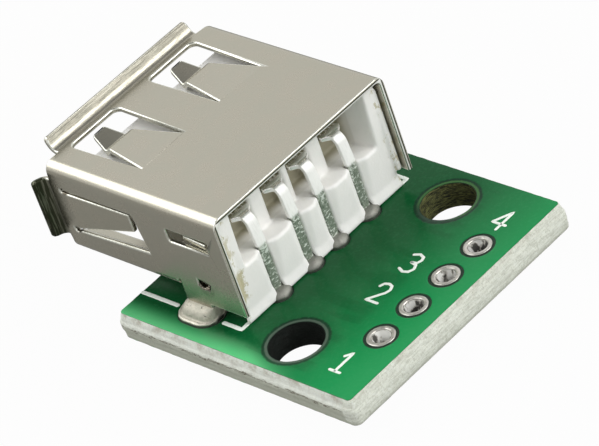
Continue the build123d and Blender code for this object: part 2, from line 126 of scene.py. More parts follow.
class Level:
    """A shader socket that adds nodes when it is used in an expression."""

    def __init__(self, finish, socket):
        self.finish = finish
        self.socket = socket

    def math(self, operation, *others, swap=False):
        values = [self, *others]
        if swap:
            values.reverse()
        return self.finish.node("Math", {"operation": operation}, dict(enumerate(values)))

    def __add__(self, other):
        return self.math("ADD", other)

    def __sub__(self, other):
        return self.math("SUBTRACT", other)

    def __rsub__(self, other):
        return self.math("SUBTRACT", other, swap=True)

    def __mul__(self, other):
        return self.math("MULTIPLY", other)

    __radd__ = __add__
    __rmul__ = __mul__

    def least(self, other):
        return self.math("MINIMUM", other)

    def most(self, other):
        return self.math("MAXIMUM", other)

    def size(self):
        return self.math("ABSOLUTE")

    def between(self, low, high):
        """0 below low, 1 above high and smooth in between."""
        return self.finish.node(
            "MapRange",
            {"interpolation_type": "SMOOTHSTEP"},
            {"Value": self, "From Min": low, "From Max": high},
        )

    def band(self, start, full, fade, end):
        """1 from full to fade, smoothly down to 0 at start and at end."""
        return self.between(start, full) * self.between(end, fade)


class Finish:
    """A material and the nodes that make it, with a colour that is laid down coat by coat."""

    def __init__(self, name, colour=None, tree=None):
        self.colour = colour
        self.material = None
        if tree is None:
            self.material = bpy.data.materials.new(name)
            self.material.use_nodes = True
            tree = self.material.node_tree
        self.tree = tree
        self.tree.nodes.clear()

    def node(self, kind, settings=None, sockets=None, out=0):
        """Add a shader node: its settings first, then the values or links of its sockets."""
        made = self.tree.nodes.new("ShaderNode" + kind)
        for name, value in (settings or {}).items():
            setattr(made, name, value)
        for name, value in (sockets or {}).items():
            if isinstance(value, Level):
                self.tree.links.new(value.socket, made.inputs[name])
            else:
                made.inputs[name].default_value = value
        return Level(self, made.outputs[out])

    def place(self):
        """Position on the part in millimetres."""
        where = self.node("TexCoord", out="Object")
        return self.node("VectorMath", {"operation": "SCALE"}, {0: where, "Scale": 1 / MM})

    def stretched(self, place, x, y, z):
        return self.node("VectorMath", {"operation": "MULTIPLY"}, {0: place, 1: (x, y, z)})

    def axis(self, place, letter):
        return self.node("SeparateXYZ", None, {0: place}, out=letter)

    def grain(self, place, scale, detail=2.0, roughness=0.5, distortion=0.0):
        """Noise from 0 to 1 with so many bumps a millimetre."""
        sockets = {
            "Vector": place,
            "Scale": scale,
            "Detail": detail,
            "Roughness": roughness,
            "Distortion": distortion,
        }
        return self.node("TexNoise", None, sockets)

    def mix(self, share, first, second):
        """Colour from first to second."""
        pair = [c if isinstance(c, Level) else (*c, 1.0) for c in (first, second)]
        return self.node("Mix", {"data_type": "RGBA"}, {0: share, 6: pair[0], 7: pair[1]}, out=2)

    def coat(self, share, colour):
        """Cover so much of the colour so far with another."""
        self.colour = self.mix(share, self.colour, colour)

    def distance(self, place, point):
        """Distance from a point in millimetres."""
        return self.node("VectorMath", {"operation": "DISTANCE"}, {0: place, 1: point}, out="Value")

    def far_from(self, place, x, y):
        """Distance in plan from an upright axis in millimetres."""
        return self.distance(self.stretched(place, 1, 1, 0), (x, y, 0))

    def bump(self, height, depth):
        """Normal of a surface whose height varies from 0 to 1 times the depth in millimetres."""
        return self.node("Bump", None, {"Height": height, "Strength": 1.0, "Distance": depth * MM})

    def done(self, **sockets):
        """Shade the surface; a socket's name is written with _ for a space."""
        named = {name.replace("_", " "): value for name, value in sockets.items()}
        self.output(self.node("BsdfPrincipled", None, {"Base Color": self.colour, **named}))
        return self.material

    def in_view(self):
        """1 where the camera sees the surface itself, also through something clear."""
        return self.node("LightPath", out="Is Camera Ray").most(self.node("LightPath", out="Is Transmission Ray"))

    def white(self, kind, strength):
        return self.node(kind, None, {"Color": (1, 1, 1, 1), "Strength": strength})

    def blend(self, share, first, second):
        """Shader from first to second."""
        return self.node("MixShader", None, {0: share, 1: first, 2: second})

    def output(self, shader):
        kind = "OutputWorld" if self.material is None else "OutputMaterial"
        made = self.tree.nodes.new("ShaderNode" + kind)
        self.tree.links.new(shader.socket, made.inputs["Surface"])


# Finishes


def laminate_finish(look):
    """Snapped glass-fibre: pale layers with brown mottles, dark in the drilled walls, and painted near black as shade
    where the faces show.
    """
    f = Finish("laminate", look.colour)
    place = f.place()
    height = f.axis(place, "Z")
    layers = f.grain(f.stretched(place, 0.9, 0.9, 6.0), 1.5, 4.0, 0.65, 0.6)
    weave = f.grain(f.stretched(place, 4.0, 4.0, 2.0), 2.6, 4.0, 0.7, 1.5)
    mottle = f.grain(place, 1.3, 4.0, 0.7)
    f.coat(layers.between(0.38, 0.62) * 0.5, look.shade)
    f.coat(weave.between(0.5, 0.62) * 0.55, look.fibre)
    f.coat(weave.between(0.44, 0.36) * 0.6, look.shade)
    # All edges but the rear one are paler above, shaded below and cracked in between.
    snapped = f.axis(place, "Y").between(5.4, 5.2)
    upper = snapped * height.between(0.85, 1.15) * layers.between(0.3, 0.5)
    f.coat(upper * 0.55, look.fibre)
    under_lacquer = height.between(0.9, 1.5) * (0.3 + snapped * 0.35)
    f.coat(mottle.between(0.42, 0.7) * under_lacquer, look.brown)
    lower = snapped * (height + (mottle - 0.5) * 0.5).between(0.95, 0.7)
    f.coat(lower * 0.7, look.shade)
    f.coat(height.between(0.3, 0.08) * 0.6, look.shade)
    off_crack = (height - (layers - 0.5) * 0.7 - 0.85).size()
    crack = snapped * off_crack.between(0.09, 0.03) * weave.between(0.42, 0.5)
    f.coat(crack, look.crack)
    # The far screw hole's wall is olive and the near one's is much darker.
    ridges = f.grain(f.stretched(place, 1.5, 1.5, 10.0), 2.0, 3.0, 0.7)
    olive = f.mix(ridges.between(0.4, 0.62), look.drilled_dark, look.drilled)
    black = f.mix(ridges.between(0.45, 0.7) * 0.4, look.drilled_dark, look.near_hole_dark)
    for screw, wall in zip(reversed(SCREWS), (olive, black)):
        near_wall = f.far_from(place, *screw).between(SCREW_RADIUS + 0.25, SCREW_RADIUS + 0.15)
        f.coat(near_wall, wall)
    # The flat faces show at the open rings only; they are painted near black as shade in those narrow gaps.
    face = (height - BOARD_TOP / 2).size().between(0.755, 0.768)
    f.coat(face, look.face)
    return f.done(
        Roughness=0.62 - weave * 0.25,
        Specular_IOR_Level=0.3,
        Normal=f.bump(layers * 0.35 + weave * 0.65, 0.09),
    )


def lacquer_finish(look):
    """Glossy green lacquer, painted dark with the receptacle's shadow, with a painted sheen along the near side, and
    worn round the screw holes.
    """
    f = Finish("green_lacquer", look.deep)
    place = f.place()
    cloud = f.grain(place, 0.3, 3.0, 0.5)
    fine = f.grain(place, 6.0, 2.0, 0.5)
    screw = f.far_from(place, *SCREWS[0]).least(f.far_from(place, *SCREWS[1]))
    across, along = f.axis(place, "X"), f.axis(place, "Y")
    # Painted light and shadow: brighter away from the receptacle's shadow, towards the rear and the near side, with a
    # painted sheen along that side; deep again over a wide track.
    bright = (along + across * 0.2 + (cloud - 0.5) * 2.0).between(-3.0, 7.5)
    f.coat(bright, look.colour)
    f.coat(across.between(6.9, 8.4) * along.between(2.0, -1.5), look.edge)
    track = f.grain(f.stretched(place, 1.0, 0.12, 0.0), 0.9, 1.0, 0.4)
    f.coat(track.between(0.5, 0.44) * along.band(-2.6, -2.0, 1.8, 2.6) * 0.3, look.deep)
    # Round the screw holes the lacquer darkens, thins out and is worn off at the rim.
    f.coat(screw.between(2.6, 1.8) * 0.3, look.deep)
    wavering = screw + (fine - 0.5) * 0.1
    f.coat(wavering.between(1.92, 1.8) * 0.85, look.bare)
    rim = wavering.between(1.74, 1.64)
    f.coat(rim * across.between(-6.0, -1.0) * 0.75, look.worn)
    f.coat(rim * across.between(-4.6, -5.6) * 0.8, look.chipped)
    f.coat(fine.between(0.45, 0.75) * 0.05, look.pale)
    return f.done(
        Roughness=0.16 + fine * 0.1,
        Specular_IOR_Level=0.12,
        Normal=f.bump(f.grain(place, 0.9, 3.0, 0.6), 0.02),
    )


def ink_finish(look):
    """Thin white print with slightly worn speckles."""
    f = Finish("white_ink", look.colour)
    place = f.place()
    speck = f.grain(place, 9.0, 3.0, 0.6)
    f.coat(speck.between(0.62, 0.78) * 0.35, look.thin)
    return f.done(Roughness=0.55 + speck * 0.2, Normal=f.bump(speck, 0.01))


def steel_finish(look):
    """Dull tinned sheet with a faint mottle, streaked along the flared lips, with painted highlights on its cut edges
    and a painted dark reflection on its side lips.
    """
    f = Finish("tinned_steel", look.colour)
    place = f.place()
    cloud = f.grain(place, 0.8, 4.0, 0.6)
    fine = f.grain(place, 14.0, 3.0, 0.6)
    rolled = f.grain(f.stretched(place, 0.5, 6.0, 6.0), 1.5, 3.0, 0.6)
    across, along, height = f.axis(place, "X").size(), f.axis(place, "Y"), f.axis(place, "Z")
    f.coat(cloud.between(0.35, 0.7) * 0.6, look.warm)
    f.coat(fine.between(0.55, 0.8) * 0.25, look.dull)
    # Draw marks on the lips of the mouth; the side lips carry a painted dark reflection with streaks.
    lip = along.between(-15.5, -15.7)
    streak = f.grain(f.stretched(place, 0.45, 5.0, 5.0), 2.2, 4.0, 0.7)
    f.coat(lip * streak.between(0.46, 0.6) * 0.7, look.streak)
    side_lip = along.between(-15.15, -15.4) * across.between(SHELL_SIDE - 0.05, SHELL_SIDE + 0.05)
    groove = f.grain(f.stretched(place, 6.0, 6.0, 0.4), 1.2, 3.0, 0.6)
    lip_dark_reflection = f.mix(groove.between(0.5, 0.6), look.black, look.black_streak)
    f.coat(side_lip, lip_dark_reflection)
    # Painted highlight along the foot of the skirts, where the burr is.
    burr = height.band(2.5, 2.56, 2.7, 2.76) * along.between(-5.3, -5.2)
    f.coat(burr * 0.8, look.sheared_highlight)
    # The cut face at the rear: a painted dark line next to the outer edge, and a painted highlight inside it, where the
    # metal gloss is turned down.
    inward = (SHELL_TOP - height).least(SHELL_SIDE - across)
    rear = along.between(SHELL_REAR - 0.04, SHELL_REAR - 0.01)
    f.coat(rear * inward.band(0.08, 0.11, 0.17, 0.2), look.black)
    f.coat(rear * inward.between(0.17, 0.2), look.cut)
    # Painted highlight along the front edge of each leg, at the foot of the skirt.
    leg_edge = (along - LEG_FRONT).size().between(0.07, 0.04) * height.between(SKIRT_FOOT, SKIRT_FOOT - 0.1)
    leg_edge = leg_edge * across.between(SHELL_SIDE - 0.15, SHELL_SIDE - 0.05)
    f.coat(leg_edge * 0.8, look.sheared_highlight)
    # The eased edges get a painted highlight.
    sheared_highlight = f.node("Attribute", {"attribute_name": "sheared_highlight"}, out="Fac") * (1.0 - side_lip) * (1.0 - rear)
    f.coat(sheared_highlight * (0.35 + rolled.between(0.4, 0.6) * 0.35), look.sheared_highlight)
    # Painted shade inside the barbs' holes and the ends of the side slits.
    inside = across.between(SHELL_SIDE + 0.01, SHELL_SIDE - 0.02)
    near_barb, far_barb = (f.distance(place, hole) for hole in BARB_HOLES)
    hole_shade = near_barb.least(far_barb).between(0.66, 0.58) * inside
    for end in SLIT_ENDS:
        hole_shade = hole_shade + f.distance(place, end).between(0.3, 0.2) * inside
    f.coat(hole_shade * (0.9 - fine.between(0.55, 0.7) * 0.6), look.hole_shade)
    return f.done(
        Metallic=1.0 - rear * 0.8,
        Roughness=look.roughness - 0.04 + fine * 0.05 + cloud * 0.04 + lip * streak * 0.2,
        Normal=f.bump(fine * 0.5 + rolled * 0.5, 0.004),
    )


def moulding_finish(look):
    """White moulded plastic with cells painted olive as shade, soiled along its sides and beside the shell."""
    f = Finish("white_moulding", look.colour)
    place = f.place()
    cloud = f.grain(place, 0.9, 3.0, 0.5)
    fine = f.grain(place, 7.0, 3.0, 0.6)
    f.coat(cloud.between(0.3, 0.75) * 0.6, look.cool)
    across, along, height = f.axis(place, "X"), f.axis(place, "Y"), f.axis(place, "Z")
    # Painted shade: the cells grow darker towards their back walls.
    deep = along.band(CELL_BACK - 0.3, CELL_BACK - 0.15, RIB_REAR - 0.2, RIB_REAR - 0.02)
    cell = deep * height.band(BLOCK_TOP - 0.25, BLOCK_TOP - 0.1, CELL_TOP, CELL_TOP + 0.15)
    f.coat(cell * (0.2 + along.between(-4.7, -5.4) * 0.8), look.cell)
    # Soil along both sides, and two ragged marks beside the rear edge of the shell.
    soil = f.grain(f.stretched(place, 1.0, 1.0, 0.6), 2.6, 5.0, 0.75).between(0.54, 0.6)
    f.coat(across.size().between(5.55, 5.85) * soil * 0.75, look.soil)
    ragged = across + (f.grain(place, 2.2, 4.0, 0.7) - 0.5) * 2.0
    upper = height.band(5.9, 6.2, 7.0, 7.3) * ragged.between(5.6, 5.75) * 0.6
    lower = height.band(2.9, 3.3, 4.7, 5.1) * ragged.between(5.4, 5.6) * 0.85
    f.coat((upper + lower) * along.between(-3.6, -3.3), look.soil)
    return f.done(
        Roughness=0.5 + fine * 0.1,
        Subsurface_Weight=0.12,
        Subsurface_Radius=(1.0, 1.0, 0.9),
        Subsurface_Scale=0.0004,
        Normal=f.bump(fine, 0.012),
    )


def bright_finish(look):
    """Bright plated strip whose tail is tinned: rough, grey and flecked; its neck and tail carry painted reflections
    and its run painted shade.
    """
    f = Finish("tinned_bronze", look.bright)
    place = f.place()
    height, along = f.axis(place, "Z"), f.axis(place, "Y")
    drawn = f.grain(f.stretched(place, 6.0, 1.2, 1.2), 1.6, 3.0, 0.6)
    fleck = f.grain(f.stretched(place, 2.2, 2.2, 3.4), 2.0, 3.0, 0.65, 0.8)
    # From below: the tinned tail, whose grey-green is partly a painted reflection of the board; the white neck, with
    # its metal gloss turned down, a painted reflection of the lamps; and the run that goes into the moulding behind the
    # bend, painted olive as shade under the shell's roof, with a darker painted shadow further in.
    outside = along.between(RIB_REAR, RIB_REAR + 0.2)
    tail = outside * (height + (drawn - 0.5) * 0.6).between(5.0, 4.7)
    neck = outside * height.band(4.8, 5.0, 6.6, 6.85)
    run = along.between(RIB_REAR, RIB_REAR - 0.15) * height.between(6.2, 6.5)
    stain = run * along.between(-5.0, -4.85) * drawn.between(0.35, 0.5)
    f.coat(drawn.between(0.4, 0.75) * 0.15, look.dim)
    f.coat(run * 0.6, look.olive)
    f.coat(stain, look.stain)
    f.coat(tail, look.tail)
    bright_fleck = (fleck + height.between(3.2, 5.2) * 0.07).between(0.54, 0.62)
    f.coat(tail * bright_fleck, look.fleck)
    f.coat(tail * fleck.between(0.44, 0.34) * 0.7, look.pit)
    return f.done(
        Metallic=1.0 - neck * 0.9 - tail * 0.45 - run * 0.75,
        Roughness=0.22 + neck * 0.2 + tail * 0.25,
        Normal=f.bump(drawn * 0.2 + tail * fleck * 0.8, 0.03),
    )


def ring_finish(look):
    """Levelled tin over copper: bright, a little uneven, with dark specks, and painted glints and shade in the bore."""
    f = Finish("tinned_copper", look.ring)
    place = f.place()
    wave = f.grain(place, 2.4, 2.0, 0.5)
    fine = f.grain(place, 7.0, 3.0, 0.6)
    bore = f.axis(place, "Z").between(1.58, 1.5)
    spark = f.grain(f.stretched(place, 1.0, 1.0, 0.5), 2.3, 3.0, 0.55)
    f.coat(fine.between(0.5, 0.72) * 0.8, look.dim)
    # Inside the bore, with its metal gloss turned down, painted glints and painted shade stand for the light in the
    # hole.
    f.coat(bore * spark.between(0.48, 0.54), look.bright)
    f.coat(bore * spark.between(0.48, 0.43) * 0.9, look.hollow)
    return f.done(
        Metallic=1.0 - bore * 0.6,
        Roughness=0.26 + fine * 0.16,
        Normal=f.bump(wave * 0.6 + fine * 0.4, 0.03),
    )


def solder_finish(look):
    """Cooled solder: dull and mottled on the heaps, bright along the rings, painted dark as shadow behind the legs."""
    f = Finish("solder", look.colour)
    place = f.place()
    height, along = f.axis(place, "Z"), f.axis(place, "Y")
    frost = f.grain(place, 2.4, 4.0, 0.65)
    fine = f.grain(place, 12.0, 3.0, 0.6)
    dots = f.grain(place, 5.0, 3.0, 0.65)
    heap = height.between(1.72, 1.8)
    f.coat(frost.between(0.4, 0.65), look.pale)
    f.coat(frost.between(0.58, 0.68) * 0.5, look.flux)
    f.coat(fine.between(0.6, 0.7) * 0.5, look.flux)
    f.coat(dots.between(0.38, 0.3) * 0.75, look.burnt_flux_and_shadow)
    # The legs' joints get painted shadow towards the rear, under the skirts; those of the tails are dull.
    leg = f.axis(place, "X").size().between(5.2, 5.4)
    behind = leg * along.between(-5.17, -5.09)
    f.coat(behind, look.burnt_flux_and_shadow)
    f.coat((1.0 - leg) * 0.75, look.tail)
    return f.done(
        Metallic=0.85 - behind * 0.6,
        Roughness=0.3 + heap * 0.26 + frost * 0.1,
        Normal=f.bump(frost * 0.7 + fine * 0.3, 0.03),
    )


# Mesh tools


def rough(x, y, z, scale, seed=0.0):
    """Smooth noise from about -1 to 1, the same each run."""
    return noise.noise(Vector((x * scale + seed, y * scale - seed, z * scale + 2 * seed)))


def loop_of(bm, points):
    return [bm.verts.new(p) for p in points]


def skin(bm, rows, closed=True):
    """Quads between neighbouring loops of the same length."""
    count = len(rows[0])
    last = count if closed else count - 1
    for low, high in zip(rows, rows[1:]):
        for i in range(last):
            j = (i + 1) % count
            bm.faces.new((low[i], low[j], high[j], high[i]))


def rod(bm, rows):
    """Skin with both ends closed."""
    skin(bm, rows)
    bm.faces.new(rows[0])
    bm.faces.new(list(reversed(rows[-1])))


def fill(bm, loops, up):
    """Flat face with holes between an outer loop and inner ones."""
    edges = []
    for loop in loops:
        for a, b in zip(loop, loop[1:] + loop[:1]):
            edges.append(bm.edges.get((a, b)) or bm.edges.new((a, b)))
    bmesh.ops.triangle_fill(bm, use_beauty=True, edges=edges, normal=(0, 0, 1 if up else -1))


def ring_points(x, y, radius, stretch, z, count, waver=0.0, seed=0.0):
    """Points of a circle drawn out along Y, with an uneven radius if it wavers."""
    points = []
    for i in range(count):
        angle = (i + 0.5) * 2 * math.pi / count
        c, s = math.cos(angle), math.sin(angle)
        r = radius + waver * rough(3 * c + x, 3 * s + y, z, 1.0, seed)
        points.append((x + r * c, y + r * s + math.copysign(stretch / 2, s), z))
    return points


def place_piece(bm, name, finish, replaced=(), smooth=40.0):
    """Turn a mesh in millimetres into a named piece that rides on the board."""
    bmesh.ops.recalc_face_normals(bm, faces=bm.faces)
    mesh = bpy.data.meshes.new(name)
    bm.to_mesh(mesh)
    bm.free()
    mesh.transform(Matrix.Scale(MM, 4))
    return place_mesh(mesh, name, finish, replaced, smooth)


def place_mesh(mesh, name, finish, replaced=(), smooth=40.0):
    mesh.shade_smooth()
    mesh.set_sharp_from_angle(angle=math.radians(smooth))
    mesh.materials.clear()
    mesh.materials.append(finish)
    piece = bpy.data.objects.new(name, mesh)
    bpy.context.scene.collection.objects.link(piece)
    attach(piece, "root")
    if replaced:
        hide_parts(*replaced)
    return piece


def cad_form(node, merge=0.0002):
    """Mesh of a CAD node in millimetres, with points that lie closer than merge made one."""
    bm = bmesh.new()
    bm.from_mesh(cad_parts[node].data)
    bmesh.ops.scale(bm, vec=(1 / MM,) * 3, verts=bm.verts)
    bmesh.ops.remove_doubles(bm, verts=bm.verts, dist=merge)
    return bm


def thrown(bm, form, most):
    """Vertices that the rounding threw off the form, each with the middle one of its good neighbours."""
    astray = {v for v in bm.verts if form.find_nearest(v.co)[3] > most}
    back = {}
    for v in astray:
        near = [n.co for n in (e.other_vert(v) for e in v.link_edges) if n not in astray]
        if near:
            back[v] = min(near, key=lambda co: sum((co - other).length for other in near)).copy()
    return back


def rounded(bm, edges, width, steps):
    """Round edges and mark the new faces for the painted edge highlight."""
    sheared_highlight = bm.faces.layers.float.get("sheared_highlight")
    made = bmesh.ops.bevel(
        bm,
        geom=edges,
        offset=width,
        offset_type="OFFSET",
        segments=steps,
        profile=0.5,
        affect="EDGES",
        clamp_overlap=False,
    )
    for face in made["faces"]:
        face[sheared_highlight] = 1.0


def sharp_edges(bm, angle, sliver=0.025):
    """Edges that turn by more than an angle, without the long sides of slivers."""
    limit = math.radians(angle)
    edges = []
    for e in bm.edges:
        if len(e.link_faces) == 2 and e.calc_face_angle(0.0) > limit:
            length = e.calc_length()
            if length < 1.0 or min(f.calc_area() for f in e.link_faces) > sliver * length:
                edges.append(e)
    return edges


def eased(bm, width, angle=28.0, steps=2, small=0.8, reach=0.2):
    """Round the sharp edges a little, but not the small ones where a trial throws corners off."""
    bm.faces.layers.float.new("sheared_highlight")
    bmesh.ops.dissolve_limit(bm, angle_limit=math.radians(0.6), verts=bm.verts, edges=bm.edges)
    form = BVHTree.FromBMesh(bm)
    most = width * 0.4
    trial = bm.copy()
    rounded(trial, sharp_edges(trial, angle), width, steps)
    spots = list(thrown(trial, form, most).values())
    trial.free()
    edges = []
    for e in sharp_edges(bm, angle):
        if e.calc_length() > small or all((v.co - spot).length > reach for spot in spots for v in e.verts):
            edges.append(e)
    rounded(bm, edges, width, steps)
    for v, co in thrown(bm, form, most).items():
        v.co = co
    return bm


# What a user would change


def colour_of(name, about, default):
    return FloatVectorProperty(name=name, description=about, default=default, size=3, min=0.0, max=1.0, subtype="COLOR")


def length_of(name, about, default):
    return FloatProperty(name=name, description=about, default=default * MM, min=0.0, unit="LENGTH", subtype="DISTANCE")


def level_of(name, about, default, **more):
    return FloatProperty(name=name, description=about, default=default, min=0.0, **more)


def angle_of(name, about, degrees):
    return FloatProperty(name=name, description=about, default=math.radians(degrees), subtype="ANGLE")


class LaminateLook(bpy.types.PropertyGroup):
    colour: colour_of("Pale fibre", "Main colour of the snapped edge", (0.82, 0.85, 0.75))
    shade: colour_of("Shaded fibre", "Darker layers of the snapped edge", (0.44, 0.46, 0.37))
    brown: colour_of("Brown", "Mottles under the lacquer's edge", (0.33, 0.27, 0.18))
    crack: colour_of("Crack", "Ragged line along the snapped web", (0.13, 0.11, 0.07))
    fibre: colour_of("Bright fibre", "Glints of loose glass", (0.90, 0.94, 0.88))
    drilled: colour_of("Drilled wall", "Ridges in the far screw hole", (0.17, 0.18, 0.06))
    # The near screw hole's wall is simply drawn darker than the far one's.
    near_hole_dark: colour_of("Sooty wall", "Ridges in the near screw hole", (0.03, 0.045, 0.038))
    drilled_dark: colour_of("Dark wall", "Grooves in the screw holes", (0.004, 0.006, 0.004))
    # Painted shade: the laminate's faces are drawn near black where they show in the narrow rings.
    face: colour_of("Dark laminate", "Laminate seen from its face", (0.004, 0.022, 0.010))
    ragged: length_of("Ragged depth", "How far the snapped edge wanders", 0.05)


class LacquerLook(bpy.types.PropertyGroup):
    # The deep green is both the lacquer's own darker tone and the receptacle's painted shadow; the green is the painted
    # lit part, and the edge green a painted sheen.
    colour: colour_of("Green", "Lacquer towards the rear edge", (0.012, 0.25, 0.072))
    deep: colour_of("Deep green", "Lacquer by the receptacle", (0.002, 0.07, 0.018))
    edge: colour_of("Edge green", "Lacquer along the near side", (0.085, 0.48, 0.18))
    chipped: colour_of("Chipped rim", "Lacquer chipped at the far screw hole", (0.05, 0.14, 0.04))
    bare: colour_of("Bare green", "Thin lacquer round the screw holes", (0.003, 0.02, 0.01))
    worn: colour_of("Worn rim", "Lacquer chipped at the near screw hole", (0.085, 0.12, 0.09))
    pale: colour_of("Pale green", "Fine speckle", (0.08, 0.36, 0.16))
    ragged: length_of("Ragged rim", "How far the lacquer's rim wanders", 0.04)


class InkLook(bpy.types.PropertyGroup):
    colour: colour_of("White ink", "Colour of the print", (0.78, 0.83, 0.77))
    thin: colour_of("Thin ink", "Specks where the green shows through", (0.35, 0.52, 0.42))
    line: length_of("Line", "Width of the receptacle's outline", 0.26)
    stroke: length_of("Stroke", "Width of the numbers' strokes", 0.17)
    digit: length_of("Number height", "Height of the numbers", 1.45)


class SteelLook(bpy.types.PropertyGroup):
    colour: colour_of("Tin", "Main colour of the sheet", (0.455, 0.44, 0.365))
    warm: colour_of("Warm tin", "Warmer patches", (0.475, 0.44, 0.365))
    dull: colour_of("Dull tin", "Fine dull specks", (0.37, 0.355, 0.30))
    streak: colour_of("Streaks", "Draw marks on the flared lips", (0.22, 0.21, 0.17))
    # Painted dark reflection on the side lips, with its streaks, and along the rear cut face.
    black: colour_of("Blackened", "Side lips and the line along the cut face at the rear", (0.045, 0.05, 0.03))
    black_streak: colour_of("Blackened streaks", "Draw marks on the side lips", (0.17, 0.175, 0.13))
    # Painted shade inside the barbs' holes and the slits' ends.
    hole_shade: colour_of("Pierced hole", "Inside of the barbs' holes and of the slits' ends", (0.05, 0.035, 0.015))
    # Painted highlights: the cut edges, the burr and the rear cut face are drawn bright.
    sheared_highlight: colour_of("Sheared edge", "Bright cut edges and the burr along the skirts", (0.85, 0.87, 0.80))
    cut: colour_of("Rear cut face", "Cut face of the sheet at the rear", (0.92, 0.92, 0.88))
    roughness: level_of("Roughness", "Blur of the sheet's gloss", 0.26, max=1.0)
    easing: length_of("Edge easing", "Rounding of the sheet's cut edges", 0.1)


class MouldingLook(bpy.types.PropertyGroup):
    colour: colour_of("White", "Main colour of the moulding", (0.93, 0.92, 0.89))
    cool: colour_of("Cool white", "Patches of the moulding", (0.87, 0.875, 0.84))
    # Painted shade in the cells behind the contacts.
    cell: colour_of("Cells", "Walls of the cells behind the contacts", (0.43, 0.405, 0.295))
    soil: colour_of("Soil", "Marks along both sides and beside the shell", (0.50, 0.45, 0.26))
    voxel: length_of("Softness", "Size below which corners are rounded", 0.09)


class TinLook(bpy.types.PropertyGroup):
    # The bright strip is also the painted white reflection on the contacts' necks and the painted glints in the pin
    # holes.
    bright: colour_of("Bright strip", "Contacts, and glints in the pin holes", (0.98, 0.98, 0.95))
    # Painted shade and shadow on the run behind the bend, under the shell's roof.
    olive: colour_of("Run", "Contacts behind their bend", (0.72, 0.70, 0.58))
    stain: colour_of("Stain", "Olive stain behind the contacts' bend", (0.20, 0.19, 0.11))
    # The tail's grey-green is partly a painted reflection of the board.
    tail: colour_of("Tinned tail", "Lower part of the contacts", (0.30, 0.35, 0.28))
    fleck: colour_of("Flecks", "Bright marks on the tails", (0.88, 0.92, 0.86))
    # Painted shade in the pin holes.
    hollow: colour_of("Hollow", "Dark parts of the pin holes", (0.03, 0.03, 0.028))
    pit: colour_of("Pits", "Dark marks on the tails", (0.11, 0.15, 0.11))
    ring: colour_of("Ring", "Levelled tin of the rings", (0.62, 0.60, 0.55))
    dim: colour_of("Dim tin", "Specks on strips and rings", (0.42, 0.41, 0.37))


class SolderLook(bpy.types.PropertyGroup):
    colour: colour_of("Solder", "Main colour of the joints", (0.46, 0.45, 0.38))
    pale: colour_of("Pale solder", "Frosted patches", (0.58, 0.56, 0.48))
    flux: colour_of("Flux", "Traces of flux", (0.30, 0.25, 0.18))
    tail: colour_of("Dull solder", "Joints of the tails", (0.21, 0.215, 0.20))
    # Dark flux specks, and the painted shadow behind the legs.
    burnt_flux_and_shadow: colour_of("Burnt flux", "Dark residue behind the legs", (0.012, 0.014, 0.01))
    height: length_of("Tail height", "Height of the tails' joints over the board", 0.43)
    leg_height: length_of("Leg height", "Height of the legs' joints over the board", 0.8)


class StageLook(bpy.types.PropertyGroup):
    floor: colour_of("Floor", "Colour of the floor", (0.35, 0.35, 0.34))
    glow: level_of("White share", "Share of plain white the camera sees in the floor", 0.97, max=1.0)
    sky: level_of("Room light", "Strength of the light from all round", 0.72)
    walls: level_of("Walls", "Brightness that metal sees all round", 0.95)
    ceiling: level_of("Ceiling", "Brightness that metal sees overhead", 0.2)
    front_power: level_of("Front lamp", "Power of the lamp over the mouth", 1.35, unit="POWER")
    rear_power: level_of("Rear lamp", "Power of the lamp over the pin holes", 1.53, unit="POWER")
    lamp_distance: length_of("Lamp distance", "How far the lamps stand from the part", 500)


class CameraLook(bpy.types.PropertyGroup):
    azimuth: angle_of("Azimuth", "Round the part", 144.95)
    elevation: angle_of("Elevation", "Above the horizon", 35.15)
    roll: angle_of("Roll", "Tilt of the picture", -20.11)
    distance: length_of("Distance", "From the camera to its aim", 205.85)
    aim: FloatVectorProperty(
        name="Aim",
        description="Point the camera looks at",
        default=(0.30 * MM, -4.29 * MM, 3.60 * MM),
        subtype="TRANSLATION",
        unit="LENGTH",
    )
    focal: level_of("Focal length", "Focal length in millimetres", 3992.9 / PICTURE_WIDTH * SENSOR)


# Pieces


def plated_holes():
    """Centre, barrel radius, ring radius, ring stretch and barrel stretch of each plated hole, from the frame."""
    places = []
    for kind, names in (("header_pad", PINS), ("contact_pad", CONTACTS), ("leg_pad", SIDES)):
        for name in names:
            at, size = middle(f"{kind}_{name}"), extent(f"{kind}_{name}")
            stretch = size.y - size.x
            bore_stretch = LEG_BORE_STRETCH if kind == "leg_pad" else stretch
            places.append((at.x, at.y, BARRELS[kind], size.x / 2, stretch, bore_stretch))
    return places


def rim_walk(step=0.1, corner=0.22):
    """Points round the board's upper outline with their outward normals."""
    low, high = (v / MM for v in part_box("solder_mask_top"))

    def on_arc(x, y, degrees):
        """Point on the arc of a corner, with its normal."""
        inward = (math.copysign(corner, low.x + high.x - 2 * x), math.copysign(corner, low.y + high.y - 2 * y))
        angle = math.radians(degrees)
        normal = Vector((math.cos(angle), math.sin(angle)))
        return Vector((x, y)) + Vector(inward) + normal * corner, normal

    corners = ((high.x, high.y, 0), (low.x, high.y, 90), (low.x, low.y, 180), (high.x, low.y, 270))
    walk = []
    for (x, y, turn), following in zip(corners, corners[1:] + corners[:1]):
        walk += [on_arc(x, y, turn + 15 * k) for k in range(7)]
        start = walk[-1][0]
        end, normal = on_arc(*following)
        run = end - start
        count = int(run.length / step)
        walk += [(start + run * k / count, normal) for k in range(1, count)]
    return walk


def rim_loop(bm, walk, offset, z, waver=0.0, lift=0.0, scale=2.0, seed=0.0, most=0.25):
    """Loop round the board at a height, so far outside the upper outline at the sides and at the rear."""
    side, rear = offset
    points = []
    for at, normal in walk:
        base = side + (rear - side) * max(0.0, normal.y)
        out = min(most, base + waver * rough(at.x, at.y, z, scale, seed))
        height = z + lift * rough(at.x, at.y, z, scale, seed + 7.3)
        points.append((at.x + normal.x * out, at.y + normal.y * out, height))
    return loop_of(bm, points)


